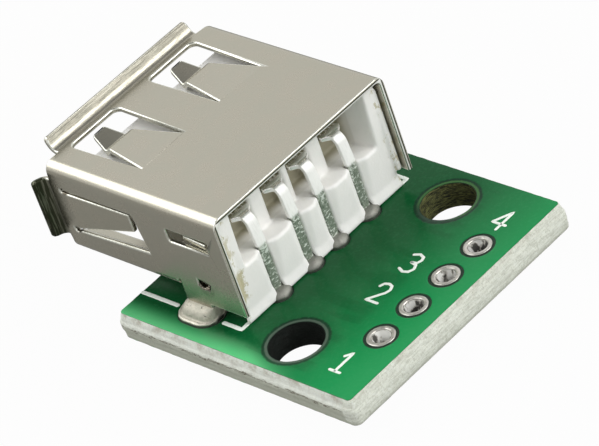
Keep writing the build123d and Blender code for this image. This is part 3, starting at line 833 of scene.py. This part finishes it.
class LayLaminate(bpy.types.Operator):
    """Glass-fibre board with ragged snapped edges and drilled walls"""

    bl_idname = "breakout.lay_laminate"
    bl_label = "Lay the laminate"

    def execute(self, context):
        look = context.scene.laminate_look
        d = look.ragged / MM
        bm = bmesh.new()
        walk = rim_walk()
        # Offset of a snapped edge, offset of the rear edge, height, wander outwards and upwards, scale and seed.
        profile = (
            (0.0, 0.0, CORE_HIGH, 0.2, 0.0, 2.5, 1.0),
            (0.05, 0.04, 1.45, 0.5, 0.3, 3.0, 2.0),
            (0.09, 0.08, 1.32, 0.6, 0.4, 3.5, 3.0),
            (0.12, 0.11, 1.2, 0.7, 0.5, 3.0, 4.0),
            (0.14, 0.14, 1.1, 0.6, 1.0, 2.2, 5.0),
            (0.215, 0.155, 1.05, 0.9, 1.2, 2.2, 5.1),
            (0.24, 0.175, 0.97, 0.5, 0.6, 3.0, 6.0),
            (0.235, 0.2, 0.84, 0.6, 0.2, 4.0, 7.0),
            (0.235, 0.22, 0.72, 0.6, 0.2, 4.0, 8.0),
            (0.235, 0.235, 0.6, 0.6, 0.5, 3.0, 9.0),
            (0.19, 0.235, 0.52, 0.6, 0.8, 2.4, 9.2),
            (0.17, 0.23, 0.4, 0.4, 0.4, 3.0, 10.0),
            (0.16, 0.22, 0.2, 0.4, 0.2, 3.0, 11.0),
            (0.15, 0.18, CORE_LOW, 0.2, 0.0, 3.0, 12.0),
        )
        rows = []
        for side, rear, z, out, lift, scale, seed in profile:
            most = 0.25 if rows else 0.02
            rows.append(rim_loop(bm, walk, (side, rear), z, out * d, lift * d, scale, seed, most))
        skin(bm, rows)
        tops, bottoms = [rows[0]], [rows[-1]]

        def drill(wall):
            skin(bm, wall)
            tops.append(wall[0])
            bottoms.append(wall[-1])

        levels = [CORE_HIGH + (CORE_LOW - CORE_HIGH) * i / 14 for i in range(15)]
        for x, y in SCREWS:
            rings = [ring_points(x, y, SCREW_RADIUS + 0.02, 0, z, count=96, waver=0.02, seed=z * 9) for z in levels]
            drill([loop_of(bm, ring) for ring in rings])
        for x, y, barrel, _, _, stretch in plated_holes():
            drill([loop_of(bm, ring_points(x, y, barrel, stretch, z, count=48)) for z in (CORE_HIGH, CORE_LOW)])
        fill(bm, tops, True)
        fill(bm, bottoms, False)
        place_piece(bm, "board_laminate", laminate_finish(look), ["pcb_core"], smooth=55)
        return {"FINISHED"}


class CoatLacquer(bpy.types.Operator):
    """Green lacquer on both faces, open round the holes and their rings"""

    bl_idname = "breakout.coat_lacquer"
    bl_label = "Coat with lacquer"

    def coat(self, name, node, finish, look, outer, base, face):
        """One coat from the height base, on the laminate, to face; its rim stands outer beyond the upper outline."""
        bm = bmesh.new()
        walk = rim_walk()
        d = look.ragged / MM
        up = face > base
        step = face - base
        rim = [
            rim_loop(bm, walk, (outer - inward,) * 2, base + step * rise, 0.5 * d, scale=2.5, seed=3.0, most=outer)
            for inward, rise in ((0.0, 0.0), (0.01, 0.6), (0.03, 0.92), (0.07, 1.0))
        ]
        skin(bm, rim)
        uppers, lowers = [rim[-1]], [rim[0]]
        # Centre, radius, stretch, number of points and width of the low shelf of each opening.
        holes = [(x, y, SCREW_RADIUS + 0.05, 0, 96, 0.3) for x, y in SCREWS]
        for x, y, _, ring, stretch, _ in plated_holes():
            holes.append((x, y, ring + (0.17 if y > 0 else 0.08), stretch, 64, 0.03))
        for x, y, radius, stretch, count, shelf in holes:
            profile = (
                (0.0, base),
                (0.006, base + step * 0.5),
                (0.02, base + step * 0.62),
                (shelf, base + step * 0.68),
                (shelf + 0.04, base + step * 0.94),
                (shelf + 0.07, face),
            )
            rings = [ring_points(x, y, radius + r, stretch, z, count, waver=0.012, seed=4.0) for r, z in profile]
            rows = [loop_of(bm, ring) for ring in rings]
            skin(bm, rows)
            uppers.append(rows[-1])
            lowers.append(rows[0])
        fill(bm, uppers, up)
        fill(bm, lowers, not up)
        place_piece(bm, name, finish, [node], smooth=50)

    def execute(self, context):
        look = context.scene.lacquer_look
        finish = lacquer_finish(look)
        self.coat("lacquer_top", "solder_mask_top", finish, look, outer=0.0, base=CORE_HIGH, face=BOARD_TOP)
        self.coat("lacquer_underside", "solder_mask_bottom", finish, look, outer=0.15, base=CORE_LOW, face=0.0)
        return {"FINISHED"}


# Strokes of the plain numbers, as points along and up in shares of the number's height.
DIGITS = {
    1: [[(0.16, 0.76), (0.36, 1.0), (0.36, 0.0)], [(0.12, 0.0), (0.6, 0.0)]],
    2: [[(0.06, 0.78), (0.14, 0.94), (0.32, 1.0), (0.5, 0.94), (0.58, 0.76), (0.52, 0.56), (0.06, 0.0), (0.62, 0.0)]],
    3: [
        [(0.08, 0.9), (0.3, 1.0), (0.52, 0.92), (0.57, 0.75), (0.5, 0.58), (0.28, 0.53)],
        [(0.28, 0.53), (0.54, 0.47), (0.62, 0.27), (0.52, 0.07), (0.3, 0.0), (0.06, 0.1)],
    ],
    4: [[(0.46, 0.0), (0.46, 1.0), (0.04, 0.3), (0.66, 0.3)]],
}


def even_points(points, step):
    """Points at even spacing along a run of straight lines."""
    spaced = [points[0]]
    for a, b in zip(points, points[1:]):
        count = max(1, round((b - a).length / step))
        spaced += [a + (b - a) * k / count for k in range(1, count + 1)]
    return spaced


def print_stroke(bm, points, width):
    """Low rounded ribbon of ink with blunt ends and a slightly uneven edge."""
    line = even_points([Vector(p) for p in points], step=0.06)
    ahead = [(b - a).normalized() for a, b in zip(line, line[1:])]
    ahead = [ahead[0], *[(a + b).normalized() for a, b in zip(ahead, ahead[1:])], ahead[-1]]
    count = 5

    def blunt(end, out, k):
        """Station beyond an end of the line: its place, its direction and its share of the width."""
        swing = math.pi / 2 * k / (count + 1)
        return line[end] + ahead[end] * out / 2 * math.sin(swing), ahead[end], math.cos(swing)

    stations = [blunt(0, -width, k) for k in range(count, 0, -1)]
    stations += [(p, a, 1.0) for p, a in zip(line, ahead)]
    stations += [blunt(-1, width, k) for k in range(1, count + 1)]
    shoulder = BOARD_TOP + (INK_TOP - BOARD_TOP) * 0.6
    rows = []
    for at, along, share in stations:
        side = Vector((-along.y, along.x))
        half = width / 2 * share
        left, right = (half * (1 + 0.1 * rough(at.x, at.y, 0, 7, seed)) for seed in (1.5, 5.5))
        section = [(left, BOARD_TOP), (left * 0.96, shoulder), (left * 0.6, INK_TOP)]
        section += [(-right * 0.6, INK_TOP), (-right * 0.96, shoulder), (-right, BOARD_TOP)]
        rows.append(loop_of(bm, [(at.x + side.x * s, at.y + side.y * s, z) for s, z in section]))
    rod(bm, rows)


class PrintInk(bpy.types.Operator):
    """White outline of the receptacle and a plain number beside each pin hole"""

    bl_idname = "breakout.print_ink"
    bl_label = "Print the ink"

    def outline_strokes(self, line):
        """Parts of the outline between the soldered rings."""
        low, high = (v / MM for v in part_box("printed_outline"))
        half = line / 2
        left, right, rear = low.x + half, high.x - half, high.y - half
        # The ink keeps clear of the rings of the legs and, further, of those of the tails.
        leg_gap, tail_gap = 0.22, 0.35
        leg = middle("leg_pad_left")
        reach = extent("leg_pad_left").y / 2 + leg_gap + half
        strokes = [[(x, low.y + half), (x, leg.y - reach)] for x in (left, right)]
        cuts = sorted(middle(f"contact_pad_{n}").x for n in CONTACTS)
        ring = extent("contact_pad_1").x / 2 + tail_gap + half
        reach_rear = math.sqrt(max(0.0, ring**2 - (rear - middle("contact_pad_1").y) ** 2))
        strokes.append([(left, leg.y + reach), (left, rear), (cuts[0] - reach_rear, rear)])
        for a, b in zip(cuts, cuts[1:]):
            if b - a > 2 * reach_rear + line:
                strokes.append([(a + reach_rear, rear), (b - reach_rear, rear)])
        strokes.append([(cuts[-1] + reach_rear, rear), (right, rear), (right, leg.y + reach)])
        return strokes

    def execute(self, context):
        look = context.scene.ink_look
        finish = ink_finish(look)
        line, stroke, tall = look.line / MM, look.stroke / MM, look.digit / MM
        bm = bmesh.new()
        for points in self.outline_strokes(line):
            print_stroke(bm, points, line)
        place_piece(bm, "ink_outline", finish, ["printed_outline"], smooth=60)
        # Each number reads along +Y with its head towards -X.
        starts = {1: (6.9, 3.05), 2: (1.95, 1.15), 3: (-0.55, 1.15), 4: (-5.2, 3.4)}
        for number, (x, y) in starts.items():
            bm = bmesh.new()
            for points in DIGITS[number]:
                print_stroke(bm, [(x - tall * up, y + tall * along) for along, up in points], stroke)
            place_piece(bm, f"ink_number_{number}", finish, (), smooth=60)
        return {"FINISHED"}


def lathe(bm, profile, x, y, stretch=0.0, count=64, waver=0.0, seed=0.0, closed=True):
    """Section of radius and height turned about an upright axis and drawn out along Y."""
    rows = [loop_of(bm, ring_points(x, y, r, stretch, z, count, waver, seed + z)) for r, z in profile]
    skin(bm, rows + rows[:1] if closed else rows)
    return rows


class PlateHoles(bpy.types.Operator):
    """Tinned barrels and rings of the pin holes, the contact holes and the leg holes"""

    bl_idname = "breakout.plate_holes"
    bl_label = "Plate the holes"

    def execute(self, context):
        finish = ring_finish(context.scene.tin_look)
        bore, barrel = PIN_BORE, BARRELS["header_pad"]
        for n in PINS:
            node = f"header_pad_{n}"
            at, size = middle(node), extent(node)
            edge, top = size.x / 2, at.z + size.z / 2
            cap = [(edge, CORE_HIGH), (edge, CORE_HIGH + 0.015), (edge - 0.02, CORE_HIGH + 0.035)]
            cap += [(edge - 0.06, top - 0.004), (edge - 0.12, top), (bore + 0.16, top), (bore + 0.1, top - 0.012)]
            cap += [(bore + 0.07, top - 0.04), (bore + 0.05, top - 0.09)]
            wall = [(bore + 0.04, 1.45), (bore + 0.01, 1.32), (bore - 0.03, 1.15), (bore - 0.05, 0.98)]
            wall += [(bore - 0.05, 0.8), (bore - 0.03, 0.6), (bore, 0.4), (bore + 0.04, 0.2)]
            foot = [(r, 2 * at.z - z) for r, z in reversed(cap)]
            hidden = [(barrel, CORE_LOW), (barrel, CORE_HIGH)]
            bm = bmesh.new()
            lathe(bm, cap + wall + foot + hidden, at.x, at.y, waver=0.02, seed=n * 3.7)
            place_piece(bm, f"pin_ring_{n}", finish, [node], smooth=60)
        for node in [f"contact_pad_{n}" for n in CONTACTS] + [f"leg_pad_{side}" for side in SIDES]:
            dress(node, finish)
        return {"FINISHED"}


def dress(node, finish):
    """Give a CAD node that keeps its own shape a finish."""
    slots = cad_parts[node].material_slots
    for one in slots:
        one.link = "OBJECT"
        one.material = finish


class FoldShell(bpy.types.Operator):
    """Folded steel shell with eased edges"""

    bl_idname = "breakout.fold_shell"
    bl_label = "Fold the shell"

    def execute(self, context):
        look = context.scene.steel_look
        bm = eased(cad_form("shell", merge=0.012), look.easing / MM, steps=3)
        shell = place_piece(bm, "folded_shell", steel_finish(look), ["shell"], smooth=42)
        even = shell.modifiers.new("even_normals", "WEIGHTED_NORMAL")
        even.keep_sharp = True
        even.weight = 90
        return {"FINISHED"}


class MouldInsulator(bpy.types.Operator):
    """White moulding with soft corners, its flash round the tails and thin cheeks beside the shell"""

    bl_idname = "breakout.mould_insulator"
    bl_label = "Mould the insulator"

    def add(self, bm, rows):
        """A closed shape that the softening melts into the moulding."""
        start = len(bm.faces)
        rod(bm, rows)
        bm.faces.ensure_lookup_table()
        bmesh.ops.recalc_face_normals(bm, faces=bm.faces[start:])

    def add_flash(self, bm):
        """Moulding flash that runs round the tails and over the near side of their joints."""
        gap, end = 0.31, 6.04
        tails = [middle(f"contact_pad_{n}").x for n in reversed(CONTACTS)]
        ends = [-end, *(x + side * gap for x in tails for side in (-1, 1)), end]
        for left, right in zip(ends[::2], ends[1::2]):
            count = max(2, int((right - left) / 0.3))
            rows = []
            for k in range(count + 1):
                x = left + (right - left) * k / count
                out = 0.05 * rough(x, 0, 0, 2.1, 3.0)
                section = ((-3.5, 1.63), (-3.19 + out, 1.63), (-3.22 + out, 1.85), (-3.3, 2.3), (-3.5, 2.3))
                rows.append(loop_of(bm, [(x, y, z) for y, z in section]))
            self.add(bm, rows)

    def add_cheeks(self, bm):
        """Thin cheeks that fill the gap beside the shell at the rear."""
        for side in (-1, 1):
            section = ((5.9, -3.9), (6.2, -3.9), (6.2, -3.05), (6.14, -2.98), (5.9, -2.98))
            rows = [loop_of(bm, [(side * x, y, z) for x, y in section]) for z in (2.75, 8.0)]
            self.add(bm, rows)

    def undercut(self, bm):
        """The lower sides stand back under the skirts of the shell."""
        step, rear, side = 2.62, -3.65, 5.5
        for at, normal in (((0, 0, step + 0.08), (0, 0, 1)), ((0, 0, step), (0, 0, 1)), ((0, rear, 0), (0, 1, 0))):
            everything = [*bm.verts, *bm.edges, *bm.faces]
            bmesh.ops.bisect_plane(bm, geom=everything, dist=0.0001, plane_co=at, plane_no=normal)
        for v in bm.verts:
            if v.co.z < step + 0.03 and v.co.y < rear + 0.05 and abs(v.co.x) > side:
                v.co.x = math.copysign(side, v.co.x)

    def execute(self, context):
        look = context.scene.moulding_look
        mesh = bpy.data.meshes.new("soft_form")
        bm = cad_form("insulator")
        self.undercut(bm)
        self.add_flash(bm)
        self.add_cheeks(bm)
        bm.to_mesh(mesh)
        bm.free()
        form = bpy.data.objects.new("soft_form", mesh)
        context.scene.collection.objects.link(form)
        remesh = form.modifiers.new("remesh", "REMESH")
        remesh.mode = "VOXEL"
        remesh.voxel_size = look.voxel / MM
        smooth = form.modifiers.new("smooth", "SMOOTH")
        smooth.factor = 0.5
        smooth.iterations = 3
        graph = context.evaluated_depsgraph_get()
        soft = bpy.data.meshes.new_from_object(form.evaluated_get(graph))
        bpy.data.objects.remove(form)
        soft.name = "moulded_insulator"
        soft.transform(Matrix.Scale(MM, 4))
        place_mesh(soft, "moulded_insulator", moulding_finish(look), ["insulator"], smooth=75)
        return {"FINISHED"}


class StampContacts(bpy.types.Operator):
    """Four bright stamped contacts with eased edges"""

    bl_idname = "breakout.stamp_contacts"
    bl_label = "Stamp the contacts"

    def curved(self, bm):
        """The tail stands upright at first and its neck then leans forwards more and more."""
        low, knee, high, lean = 2.07, 4.5, 6.7, 0.22
        upright = [e for e in bm.edges if abs(e.verts[0].co.z - e.verts[1].co.z) > 1.5]
        bmesh.ops.bisect_edges(bm, edges=upright, cuts=15)
        bmesh.ops.triangulate(bm, faces=bm.faces)
        for v in bm.verts:
            if v.co.y > -4.2 and v.co.z > low:
                rise = min(v.co.z, high)
                straight = lean * (rise - low) / (high - low)
                bent = lean * (max(0.0, rise - knee) / (high - knee)) ** 2
                v.co.y += straight - bent
        return bm

    def execute(self, context):
        finish = bright_finish(context.scene.tin_look)
        for n in CONTACTS:
            bm = eased(self.curved(cad_form(f"contact_{n}")), width=0.03)
            place_piece(bm, f"stamped_contact_{n}", finish, [f"contact_{n}"], smooth=32)
        return {"FINISHED"}


class FlowSolder(bpy.types.Operator):
    """Solder joints round the contact tails and the shell's legs"""

    bl_idname = "breakout.flow_solder"
    bl_label = "Flow the solder"

    def uneven(self, bm, base, height, start, depth, scale, seed):
        """Let the heap above the board swell and sink, more so towards its top."""
        for v in bm.verts:
            if v.co.z > base + start:
                swell = rough(v.co.x, v.co.y, v.co.z, scale, seed)
                v.co.z += depth * swell * min(1.0, (v.co.z - base) / height)

    def tail_joint(self, n, finish, height):
        """Heap above the board, stem through it and a low cone below."""
        at, size = middle(f"contact_pad_{n}"), extent(f"contact_pad_{n}")
        edge, neck, count = size.x / 2 + 0.01, 0.28, 56
        base = BOARD_TOP + SOLDER_FILM
        above = [(0.1, 1.0), (0.24, 0.96), (0.4, 0.9), (0.55, 0.82), (0.7, 0.71), (0.83, 0.58), (0.93, 0.42)]
        above += [(0.985, 0.25), (1.005, 0.1), (1.0, 0.0)]
        bm = bmesh.new()
        top = [(neck + (edge - neck) * r, base + height * z) for r, z in above]
        below = ((0.1, 1.0), *reversed(SOLDER_CONE))
        foot = [(neck + (edge - neck) * r, -SOLDER_FILM - SOLDER_DROP * z) for r, z in below]
        stem = [(edge * 0.6, -SOLDER_FILM), (edge * 0.6, base)]
        heap = lathe(bm, top, at.x, at.y, count=count, waver=0.03, seed=2.0, closed=False)
        cone = lathe(bm, foot, at.x, at.y, count=count, waver=0.02, seed=4.0, closed=False)
        inner = lathe(bm, stem, at.x, at.y, count=count, closed=False)
        skin(bm, [cone[-1], inner[0]])
        skin(bm, [inner[1], heap[-1]])
        bm.faces.new(heap[0])
        bm.faces.new(cone[0])
        self.uneven(bm, base, height, start=0.02, depth=0.05, scale=1.6, seed=at.x + at.y)
        place_piece(bm, f"tail_joint_{n}", finish, [f"contact_solder_{n}"], smooth=75)

    def leg_joint(self, side, finish, height):
        """Low bright rim on the ring and a steep heap that closes in on the leg."""
        at, size = middle(f"leg_pad_{side}"), extent(f"leg_pad_{side}")
        edge, neck = size.x / 2 + 0.02, 0.26
        ring_stretch = size.y - size.x
        base = BOARD_TOP + SOLDER_FILM
        above = [(1.0, 0.0), (1.01, 0.05), (0.99, 0.11), (0.93, 0.17), (0.84, 0.2), (0.74, 0.2), (0.68, 0.23)]
        above += [(0.63, 0.32), (0.58, 0.44), (0.5, 0.58), (0.38, 0.72), (0.24, 0.84), (0.1, 0.94), (0.0, 1.0)]
        bm = bmesh.new()

        def level(share, z, waver=0.0, seed=0.0):
            """Loop at a height, on the way from the leg itself, share 0, out to the edge of the ring, share 1."""
            inward = 1 - share
            stretch = ring_stretch + (LEG_WIDTH - 2 * neck - ring_stretch) * inward
            y = at.y + (LEG_MIDDLE - at.y) * inward
            return loop_of(bm, ring_points(at.x, y, neck + (edge - neck) * share, stretch, z, 88, waver, seed))

        below = (*SOLDER_CONE, (0.0, 1.0))
        heap = [level(r, base + height * z, waver=0.035, seed=2.0 + 2 * z) for r, z in above]
        cone = [level(r, -SOLDER_FILM - SOLDER_DROP * z, waver=0.02, seed=4.0 + z) for r, z in below]
        skin(bm, heap)
        skin(bm, cone)
        stem = [level(0.55, z) for z in (base, -SOLDER_FILM)]
        skin(bm, [heap[0], stem[0]])
        skin(bm, stem)
        skin(bm, [stem[1], cone[0]])
        bm.faces.new(heap[-1])
        bm.faces.new(cone[-1])
        self.uneven(bm, base, height, start=0.16, depth=0.08, scale=1.8, seed=at.x)
        place_piece(bm, f"leg_joint_{side}", finish, [f"leg_solder_{side}"], smooth=75)

    def execute(self, context):
        look = context.scene.solder_look
        finish = solder_finish(look)
        for n in CONTACTS:
            self.tail_joint(n, finish, look.height / MM)
        for side in SIDES:
            self.leg_joint(side, finish, look.leg_height / MM)
        return {"FINISHED"}


# Stage and camera


class SetStage(bpy.types.Operator):
    """Pale floor, soft lamps, and a room that lights the part evenly"""

    bl_idname = "breakout.set_stage"
    bl_label = "Set the stage"

    def floor(self, look):
        bm = bmesh.new()
        reach, count = 1500.0, 12
        low = cad_box[0].z / MM
        rows = []
        for i in range(count + 1):
            y = reach * (2 * i / count - 1)
            rows.append(loop_of(bm, [(reach * (2 * k / count - 1), y, low) for k in range(count + 1)]))
        skin(bm, rows, closed=False)
        mesh = bpy.data.meshes.new("floor")
        bm.to_mesh(mesh)
        bm.free()
        mesh.transform(Matrix.Scale(MM, 4))
        f = Finish("pale_floor")
        seen = f.in_view()
        paper = f.node("BsdfDiffuse", None, {"Color": (*look.floor, 1.0)})
        white = f.white("Emission", 1.0)
        f.output(f.blend(seen * look.glow, paper, white))
        mesh.materials.append(f.material)
        floor = bpy.data.objects.new("floor", mesh)
        bpy.context.scene.collection.objects.link(floor)

    def lamp(self, name, direction, power, width, height, distance):
        data = bpy.data.lights.new(name, "AREA")
        data.shape = "RECTANGLE"
        data.size = width * MM
        data.size_y = height * MM
        data.energy = power
        lamp = bpy.data.objects.new(name, data)
        away = Vector(direction).normalized()
        lamp.location = away * distance
        lamp.rotation_mode = "QUATERNION"
        lamp.rotation_quaternion = away.to_track_quat("Z", "Y")
        bpy.context.scene.collection.objects.link(lamp)

    def execute(self, context):
        scene = context.scene
        look = scene.stage_look
        scene.view_settings.view_transform = "Standard"
        self.floor(look)
        self.lamp("front_lamp", (0.312, -0.669, 0.675), look.front_power, 560, 330, look.lamp_distance)
        self.lamp("rear_lamp", (-0.4, 0.69, 0.6), look.rear_power, 400, 340, look.lamp_distance)
        world = bpy.data.worlds.new("room")
        scene.world = world
        world.use_nodes = True
        f = Finish("room", tree=world.node_tree)
        seen = f.in_view()
        room = f.white("Background", look.sky)
        plain = f.white("Background", 1.0)
        glossy = f.node("LightPath", out="Is Glossy Ray")
        walls = f.white("Background", look.walls)
        ceiling = f.white("Background", look.ceiling)
        height = f.axis(f.node("TexCoord", out="Generated"), "Z")
        mirrored = f.blend(height.between(0.76, 0.87), walls, ceiling)
        f.output(f.blend(seen, f.blend(glossy, room, mirrored), plain))
        return {"FINISHED"}


class AimCamera(bpy.types.Operator):
    """Camera at the picture's viewing angle"""

    bl_idname = "breakout.aim_camera"
    bl_label = "Aim the camera"

    def execute(self, context):
        look = context.scene.camera_look
        a, e, roll = look.azimuth, look.elevation, look.roll
        back = Vector((math.sin(a) * math.cos(e), -math.cos(a) * math.cos(e), math.sin(e)))
        level = Vector((0, 0, 1)).cross(back).normalized()
        upright = back.cross(level)
        right = level * math.cos(roll) + upright * math.sin(roll)
        up = upright * math.cos(roll) - level * math.sin(roll)
        data = bpy.data.cameras.new("picture_camera")
        data.sensor_width = SENSOR
        data.lens = look.focal
        data.clip_start = 0.01
        data.clip_end = 20.0
        camera = bpy.data.objects.new("picture_camera", data)
        turn = Matrix((right, up, back)).transposed().to_4x4()
        camera.matrix_world = Matrix.Translation(Vector(look.aim) + back * look.distance) @ turn
        context.scene.collection.objects.link(camera)
        context.scene.camera = camera
        return {"FINISHED"}


class DressingPanel(bpy.types.Panel):
    """Every step of the dressing and the sizes and colours that it uses"""

    bl_idname = "VIEW3D_PT_breakout"
    bl_label = "Breakout board"
    bl_space_type = "VIEW_3D"
    bl_region_type = "UI"
    bl_category = "Breakout board"

    def draw(self, context):
        for operator, look in STEPS:
            box = self.layout.box()
            box.operator(operator.bl_idname)
            if look:
                group = getattr(context.scene, look)
                for name in group.bl_rna.properties.keys():
                    if name not in ("rna_type", "name"):
                        box.prop(group, name)


LOOKS = {
    "laminate_look": LaminateLook,
    "lacquer_look": LacquerLook,
    "ink_look": InkLook,
    "steel_look": SteelLook,
    "moulding_look": MouldingLook,
    "tin_look": TinLook,
    "solder_look": SolderLook,
    "stage_look": StageLook,
    "camera_look": CameraLook,
}
STEPS = (
    (AimCamera, "camera_look"),
    (SetStage, "stage_look"),
    (LayLaminate, "laminate_look"),
    (CoatLacquer, "lacquer_look"),
    (PrintInk, "ink_look"),
    (PlateHoles, "tin_look"),
    (FoldShell, "steel_look"),
    (MouldInsulator, "moulding_look"),
    (StampContacts, None),
    (FlowSolder, "solder_look"),
)
CLASSES = (*LOOKS.values(), *(operator for operator, _ in STEPS), DressingPanel)


def register():
    for one in CLASSES:
        bpy.utils.register_class(one)
    for name, group in LOOKS.items():
        setattr(bpy.types.Scene, name, PointerProperty(type=group))


def unregister():
    for name in LOOKS:
        delattr(bpy.types.Scene, name)
    for one in reversed(CLASSES):
        bpy.utils.unregister_class(one)


def main():
    register()
    for operator, _ in STEPS:
        family, name = operator.bl_idname.split(".")
        getattr(getattr(bpy.ops, family), name)()


if __name__ == "__main__":
    main()
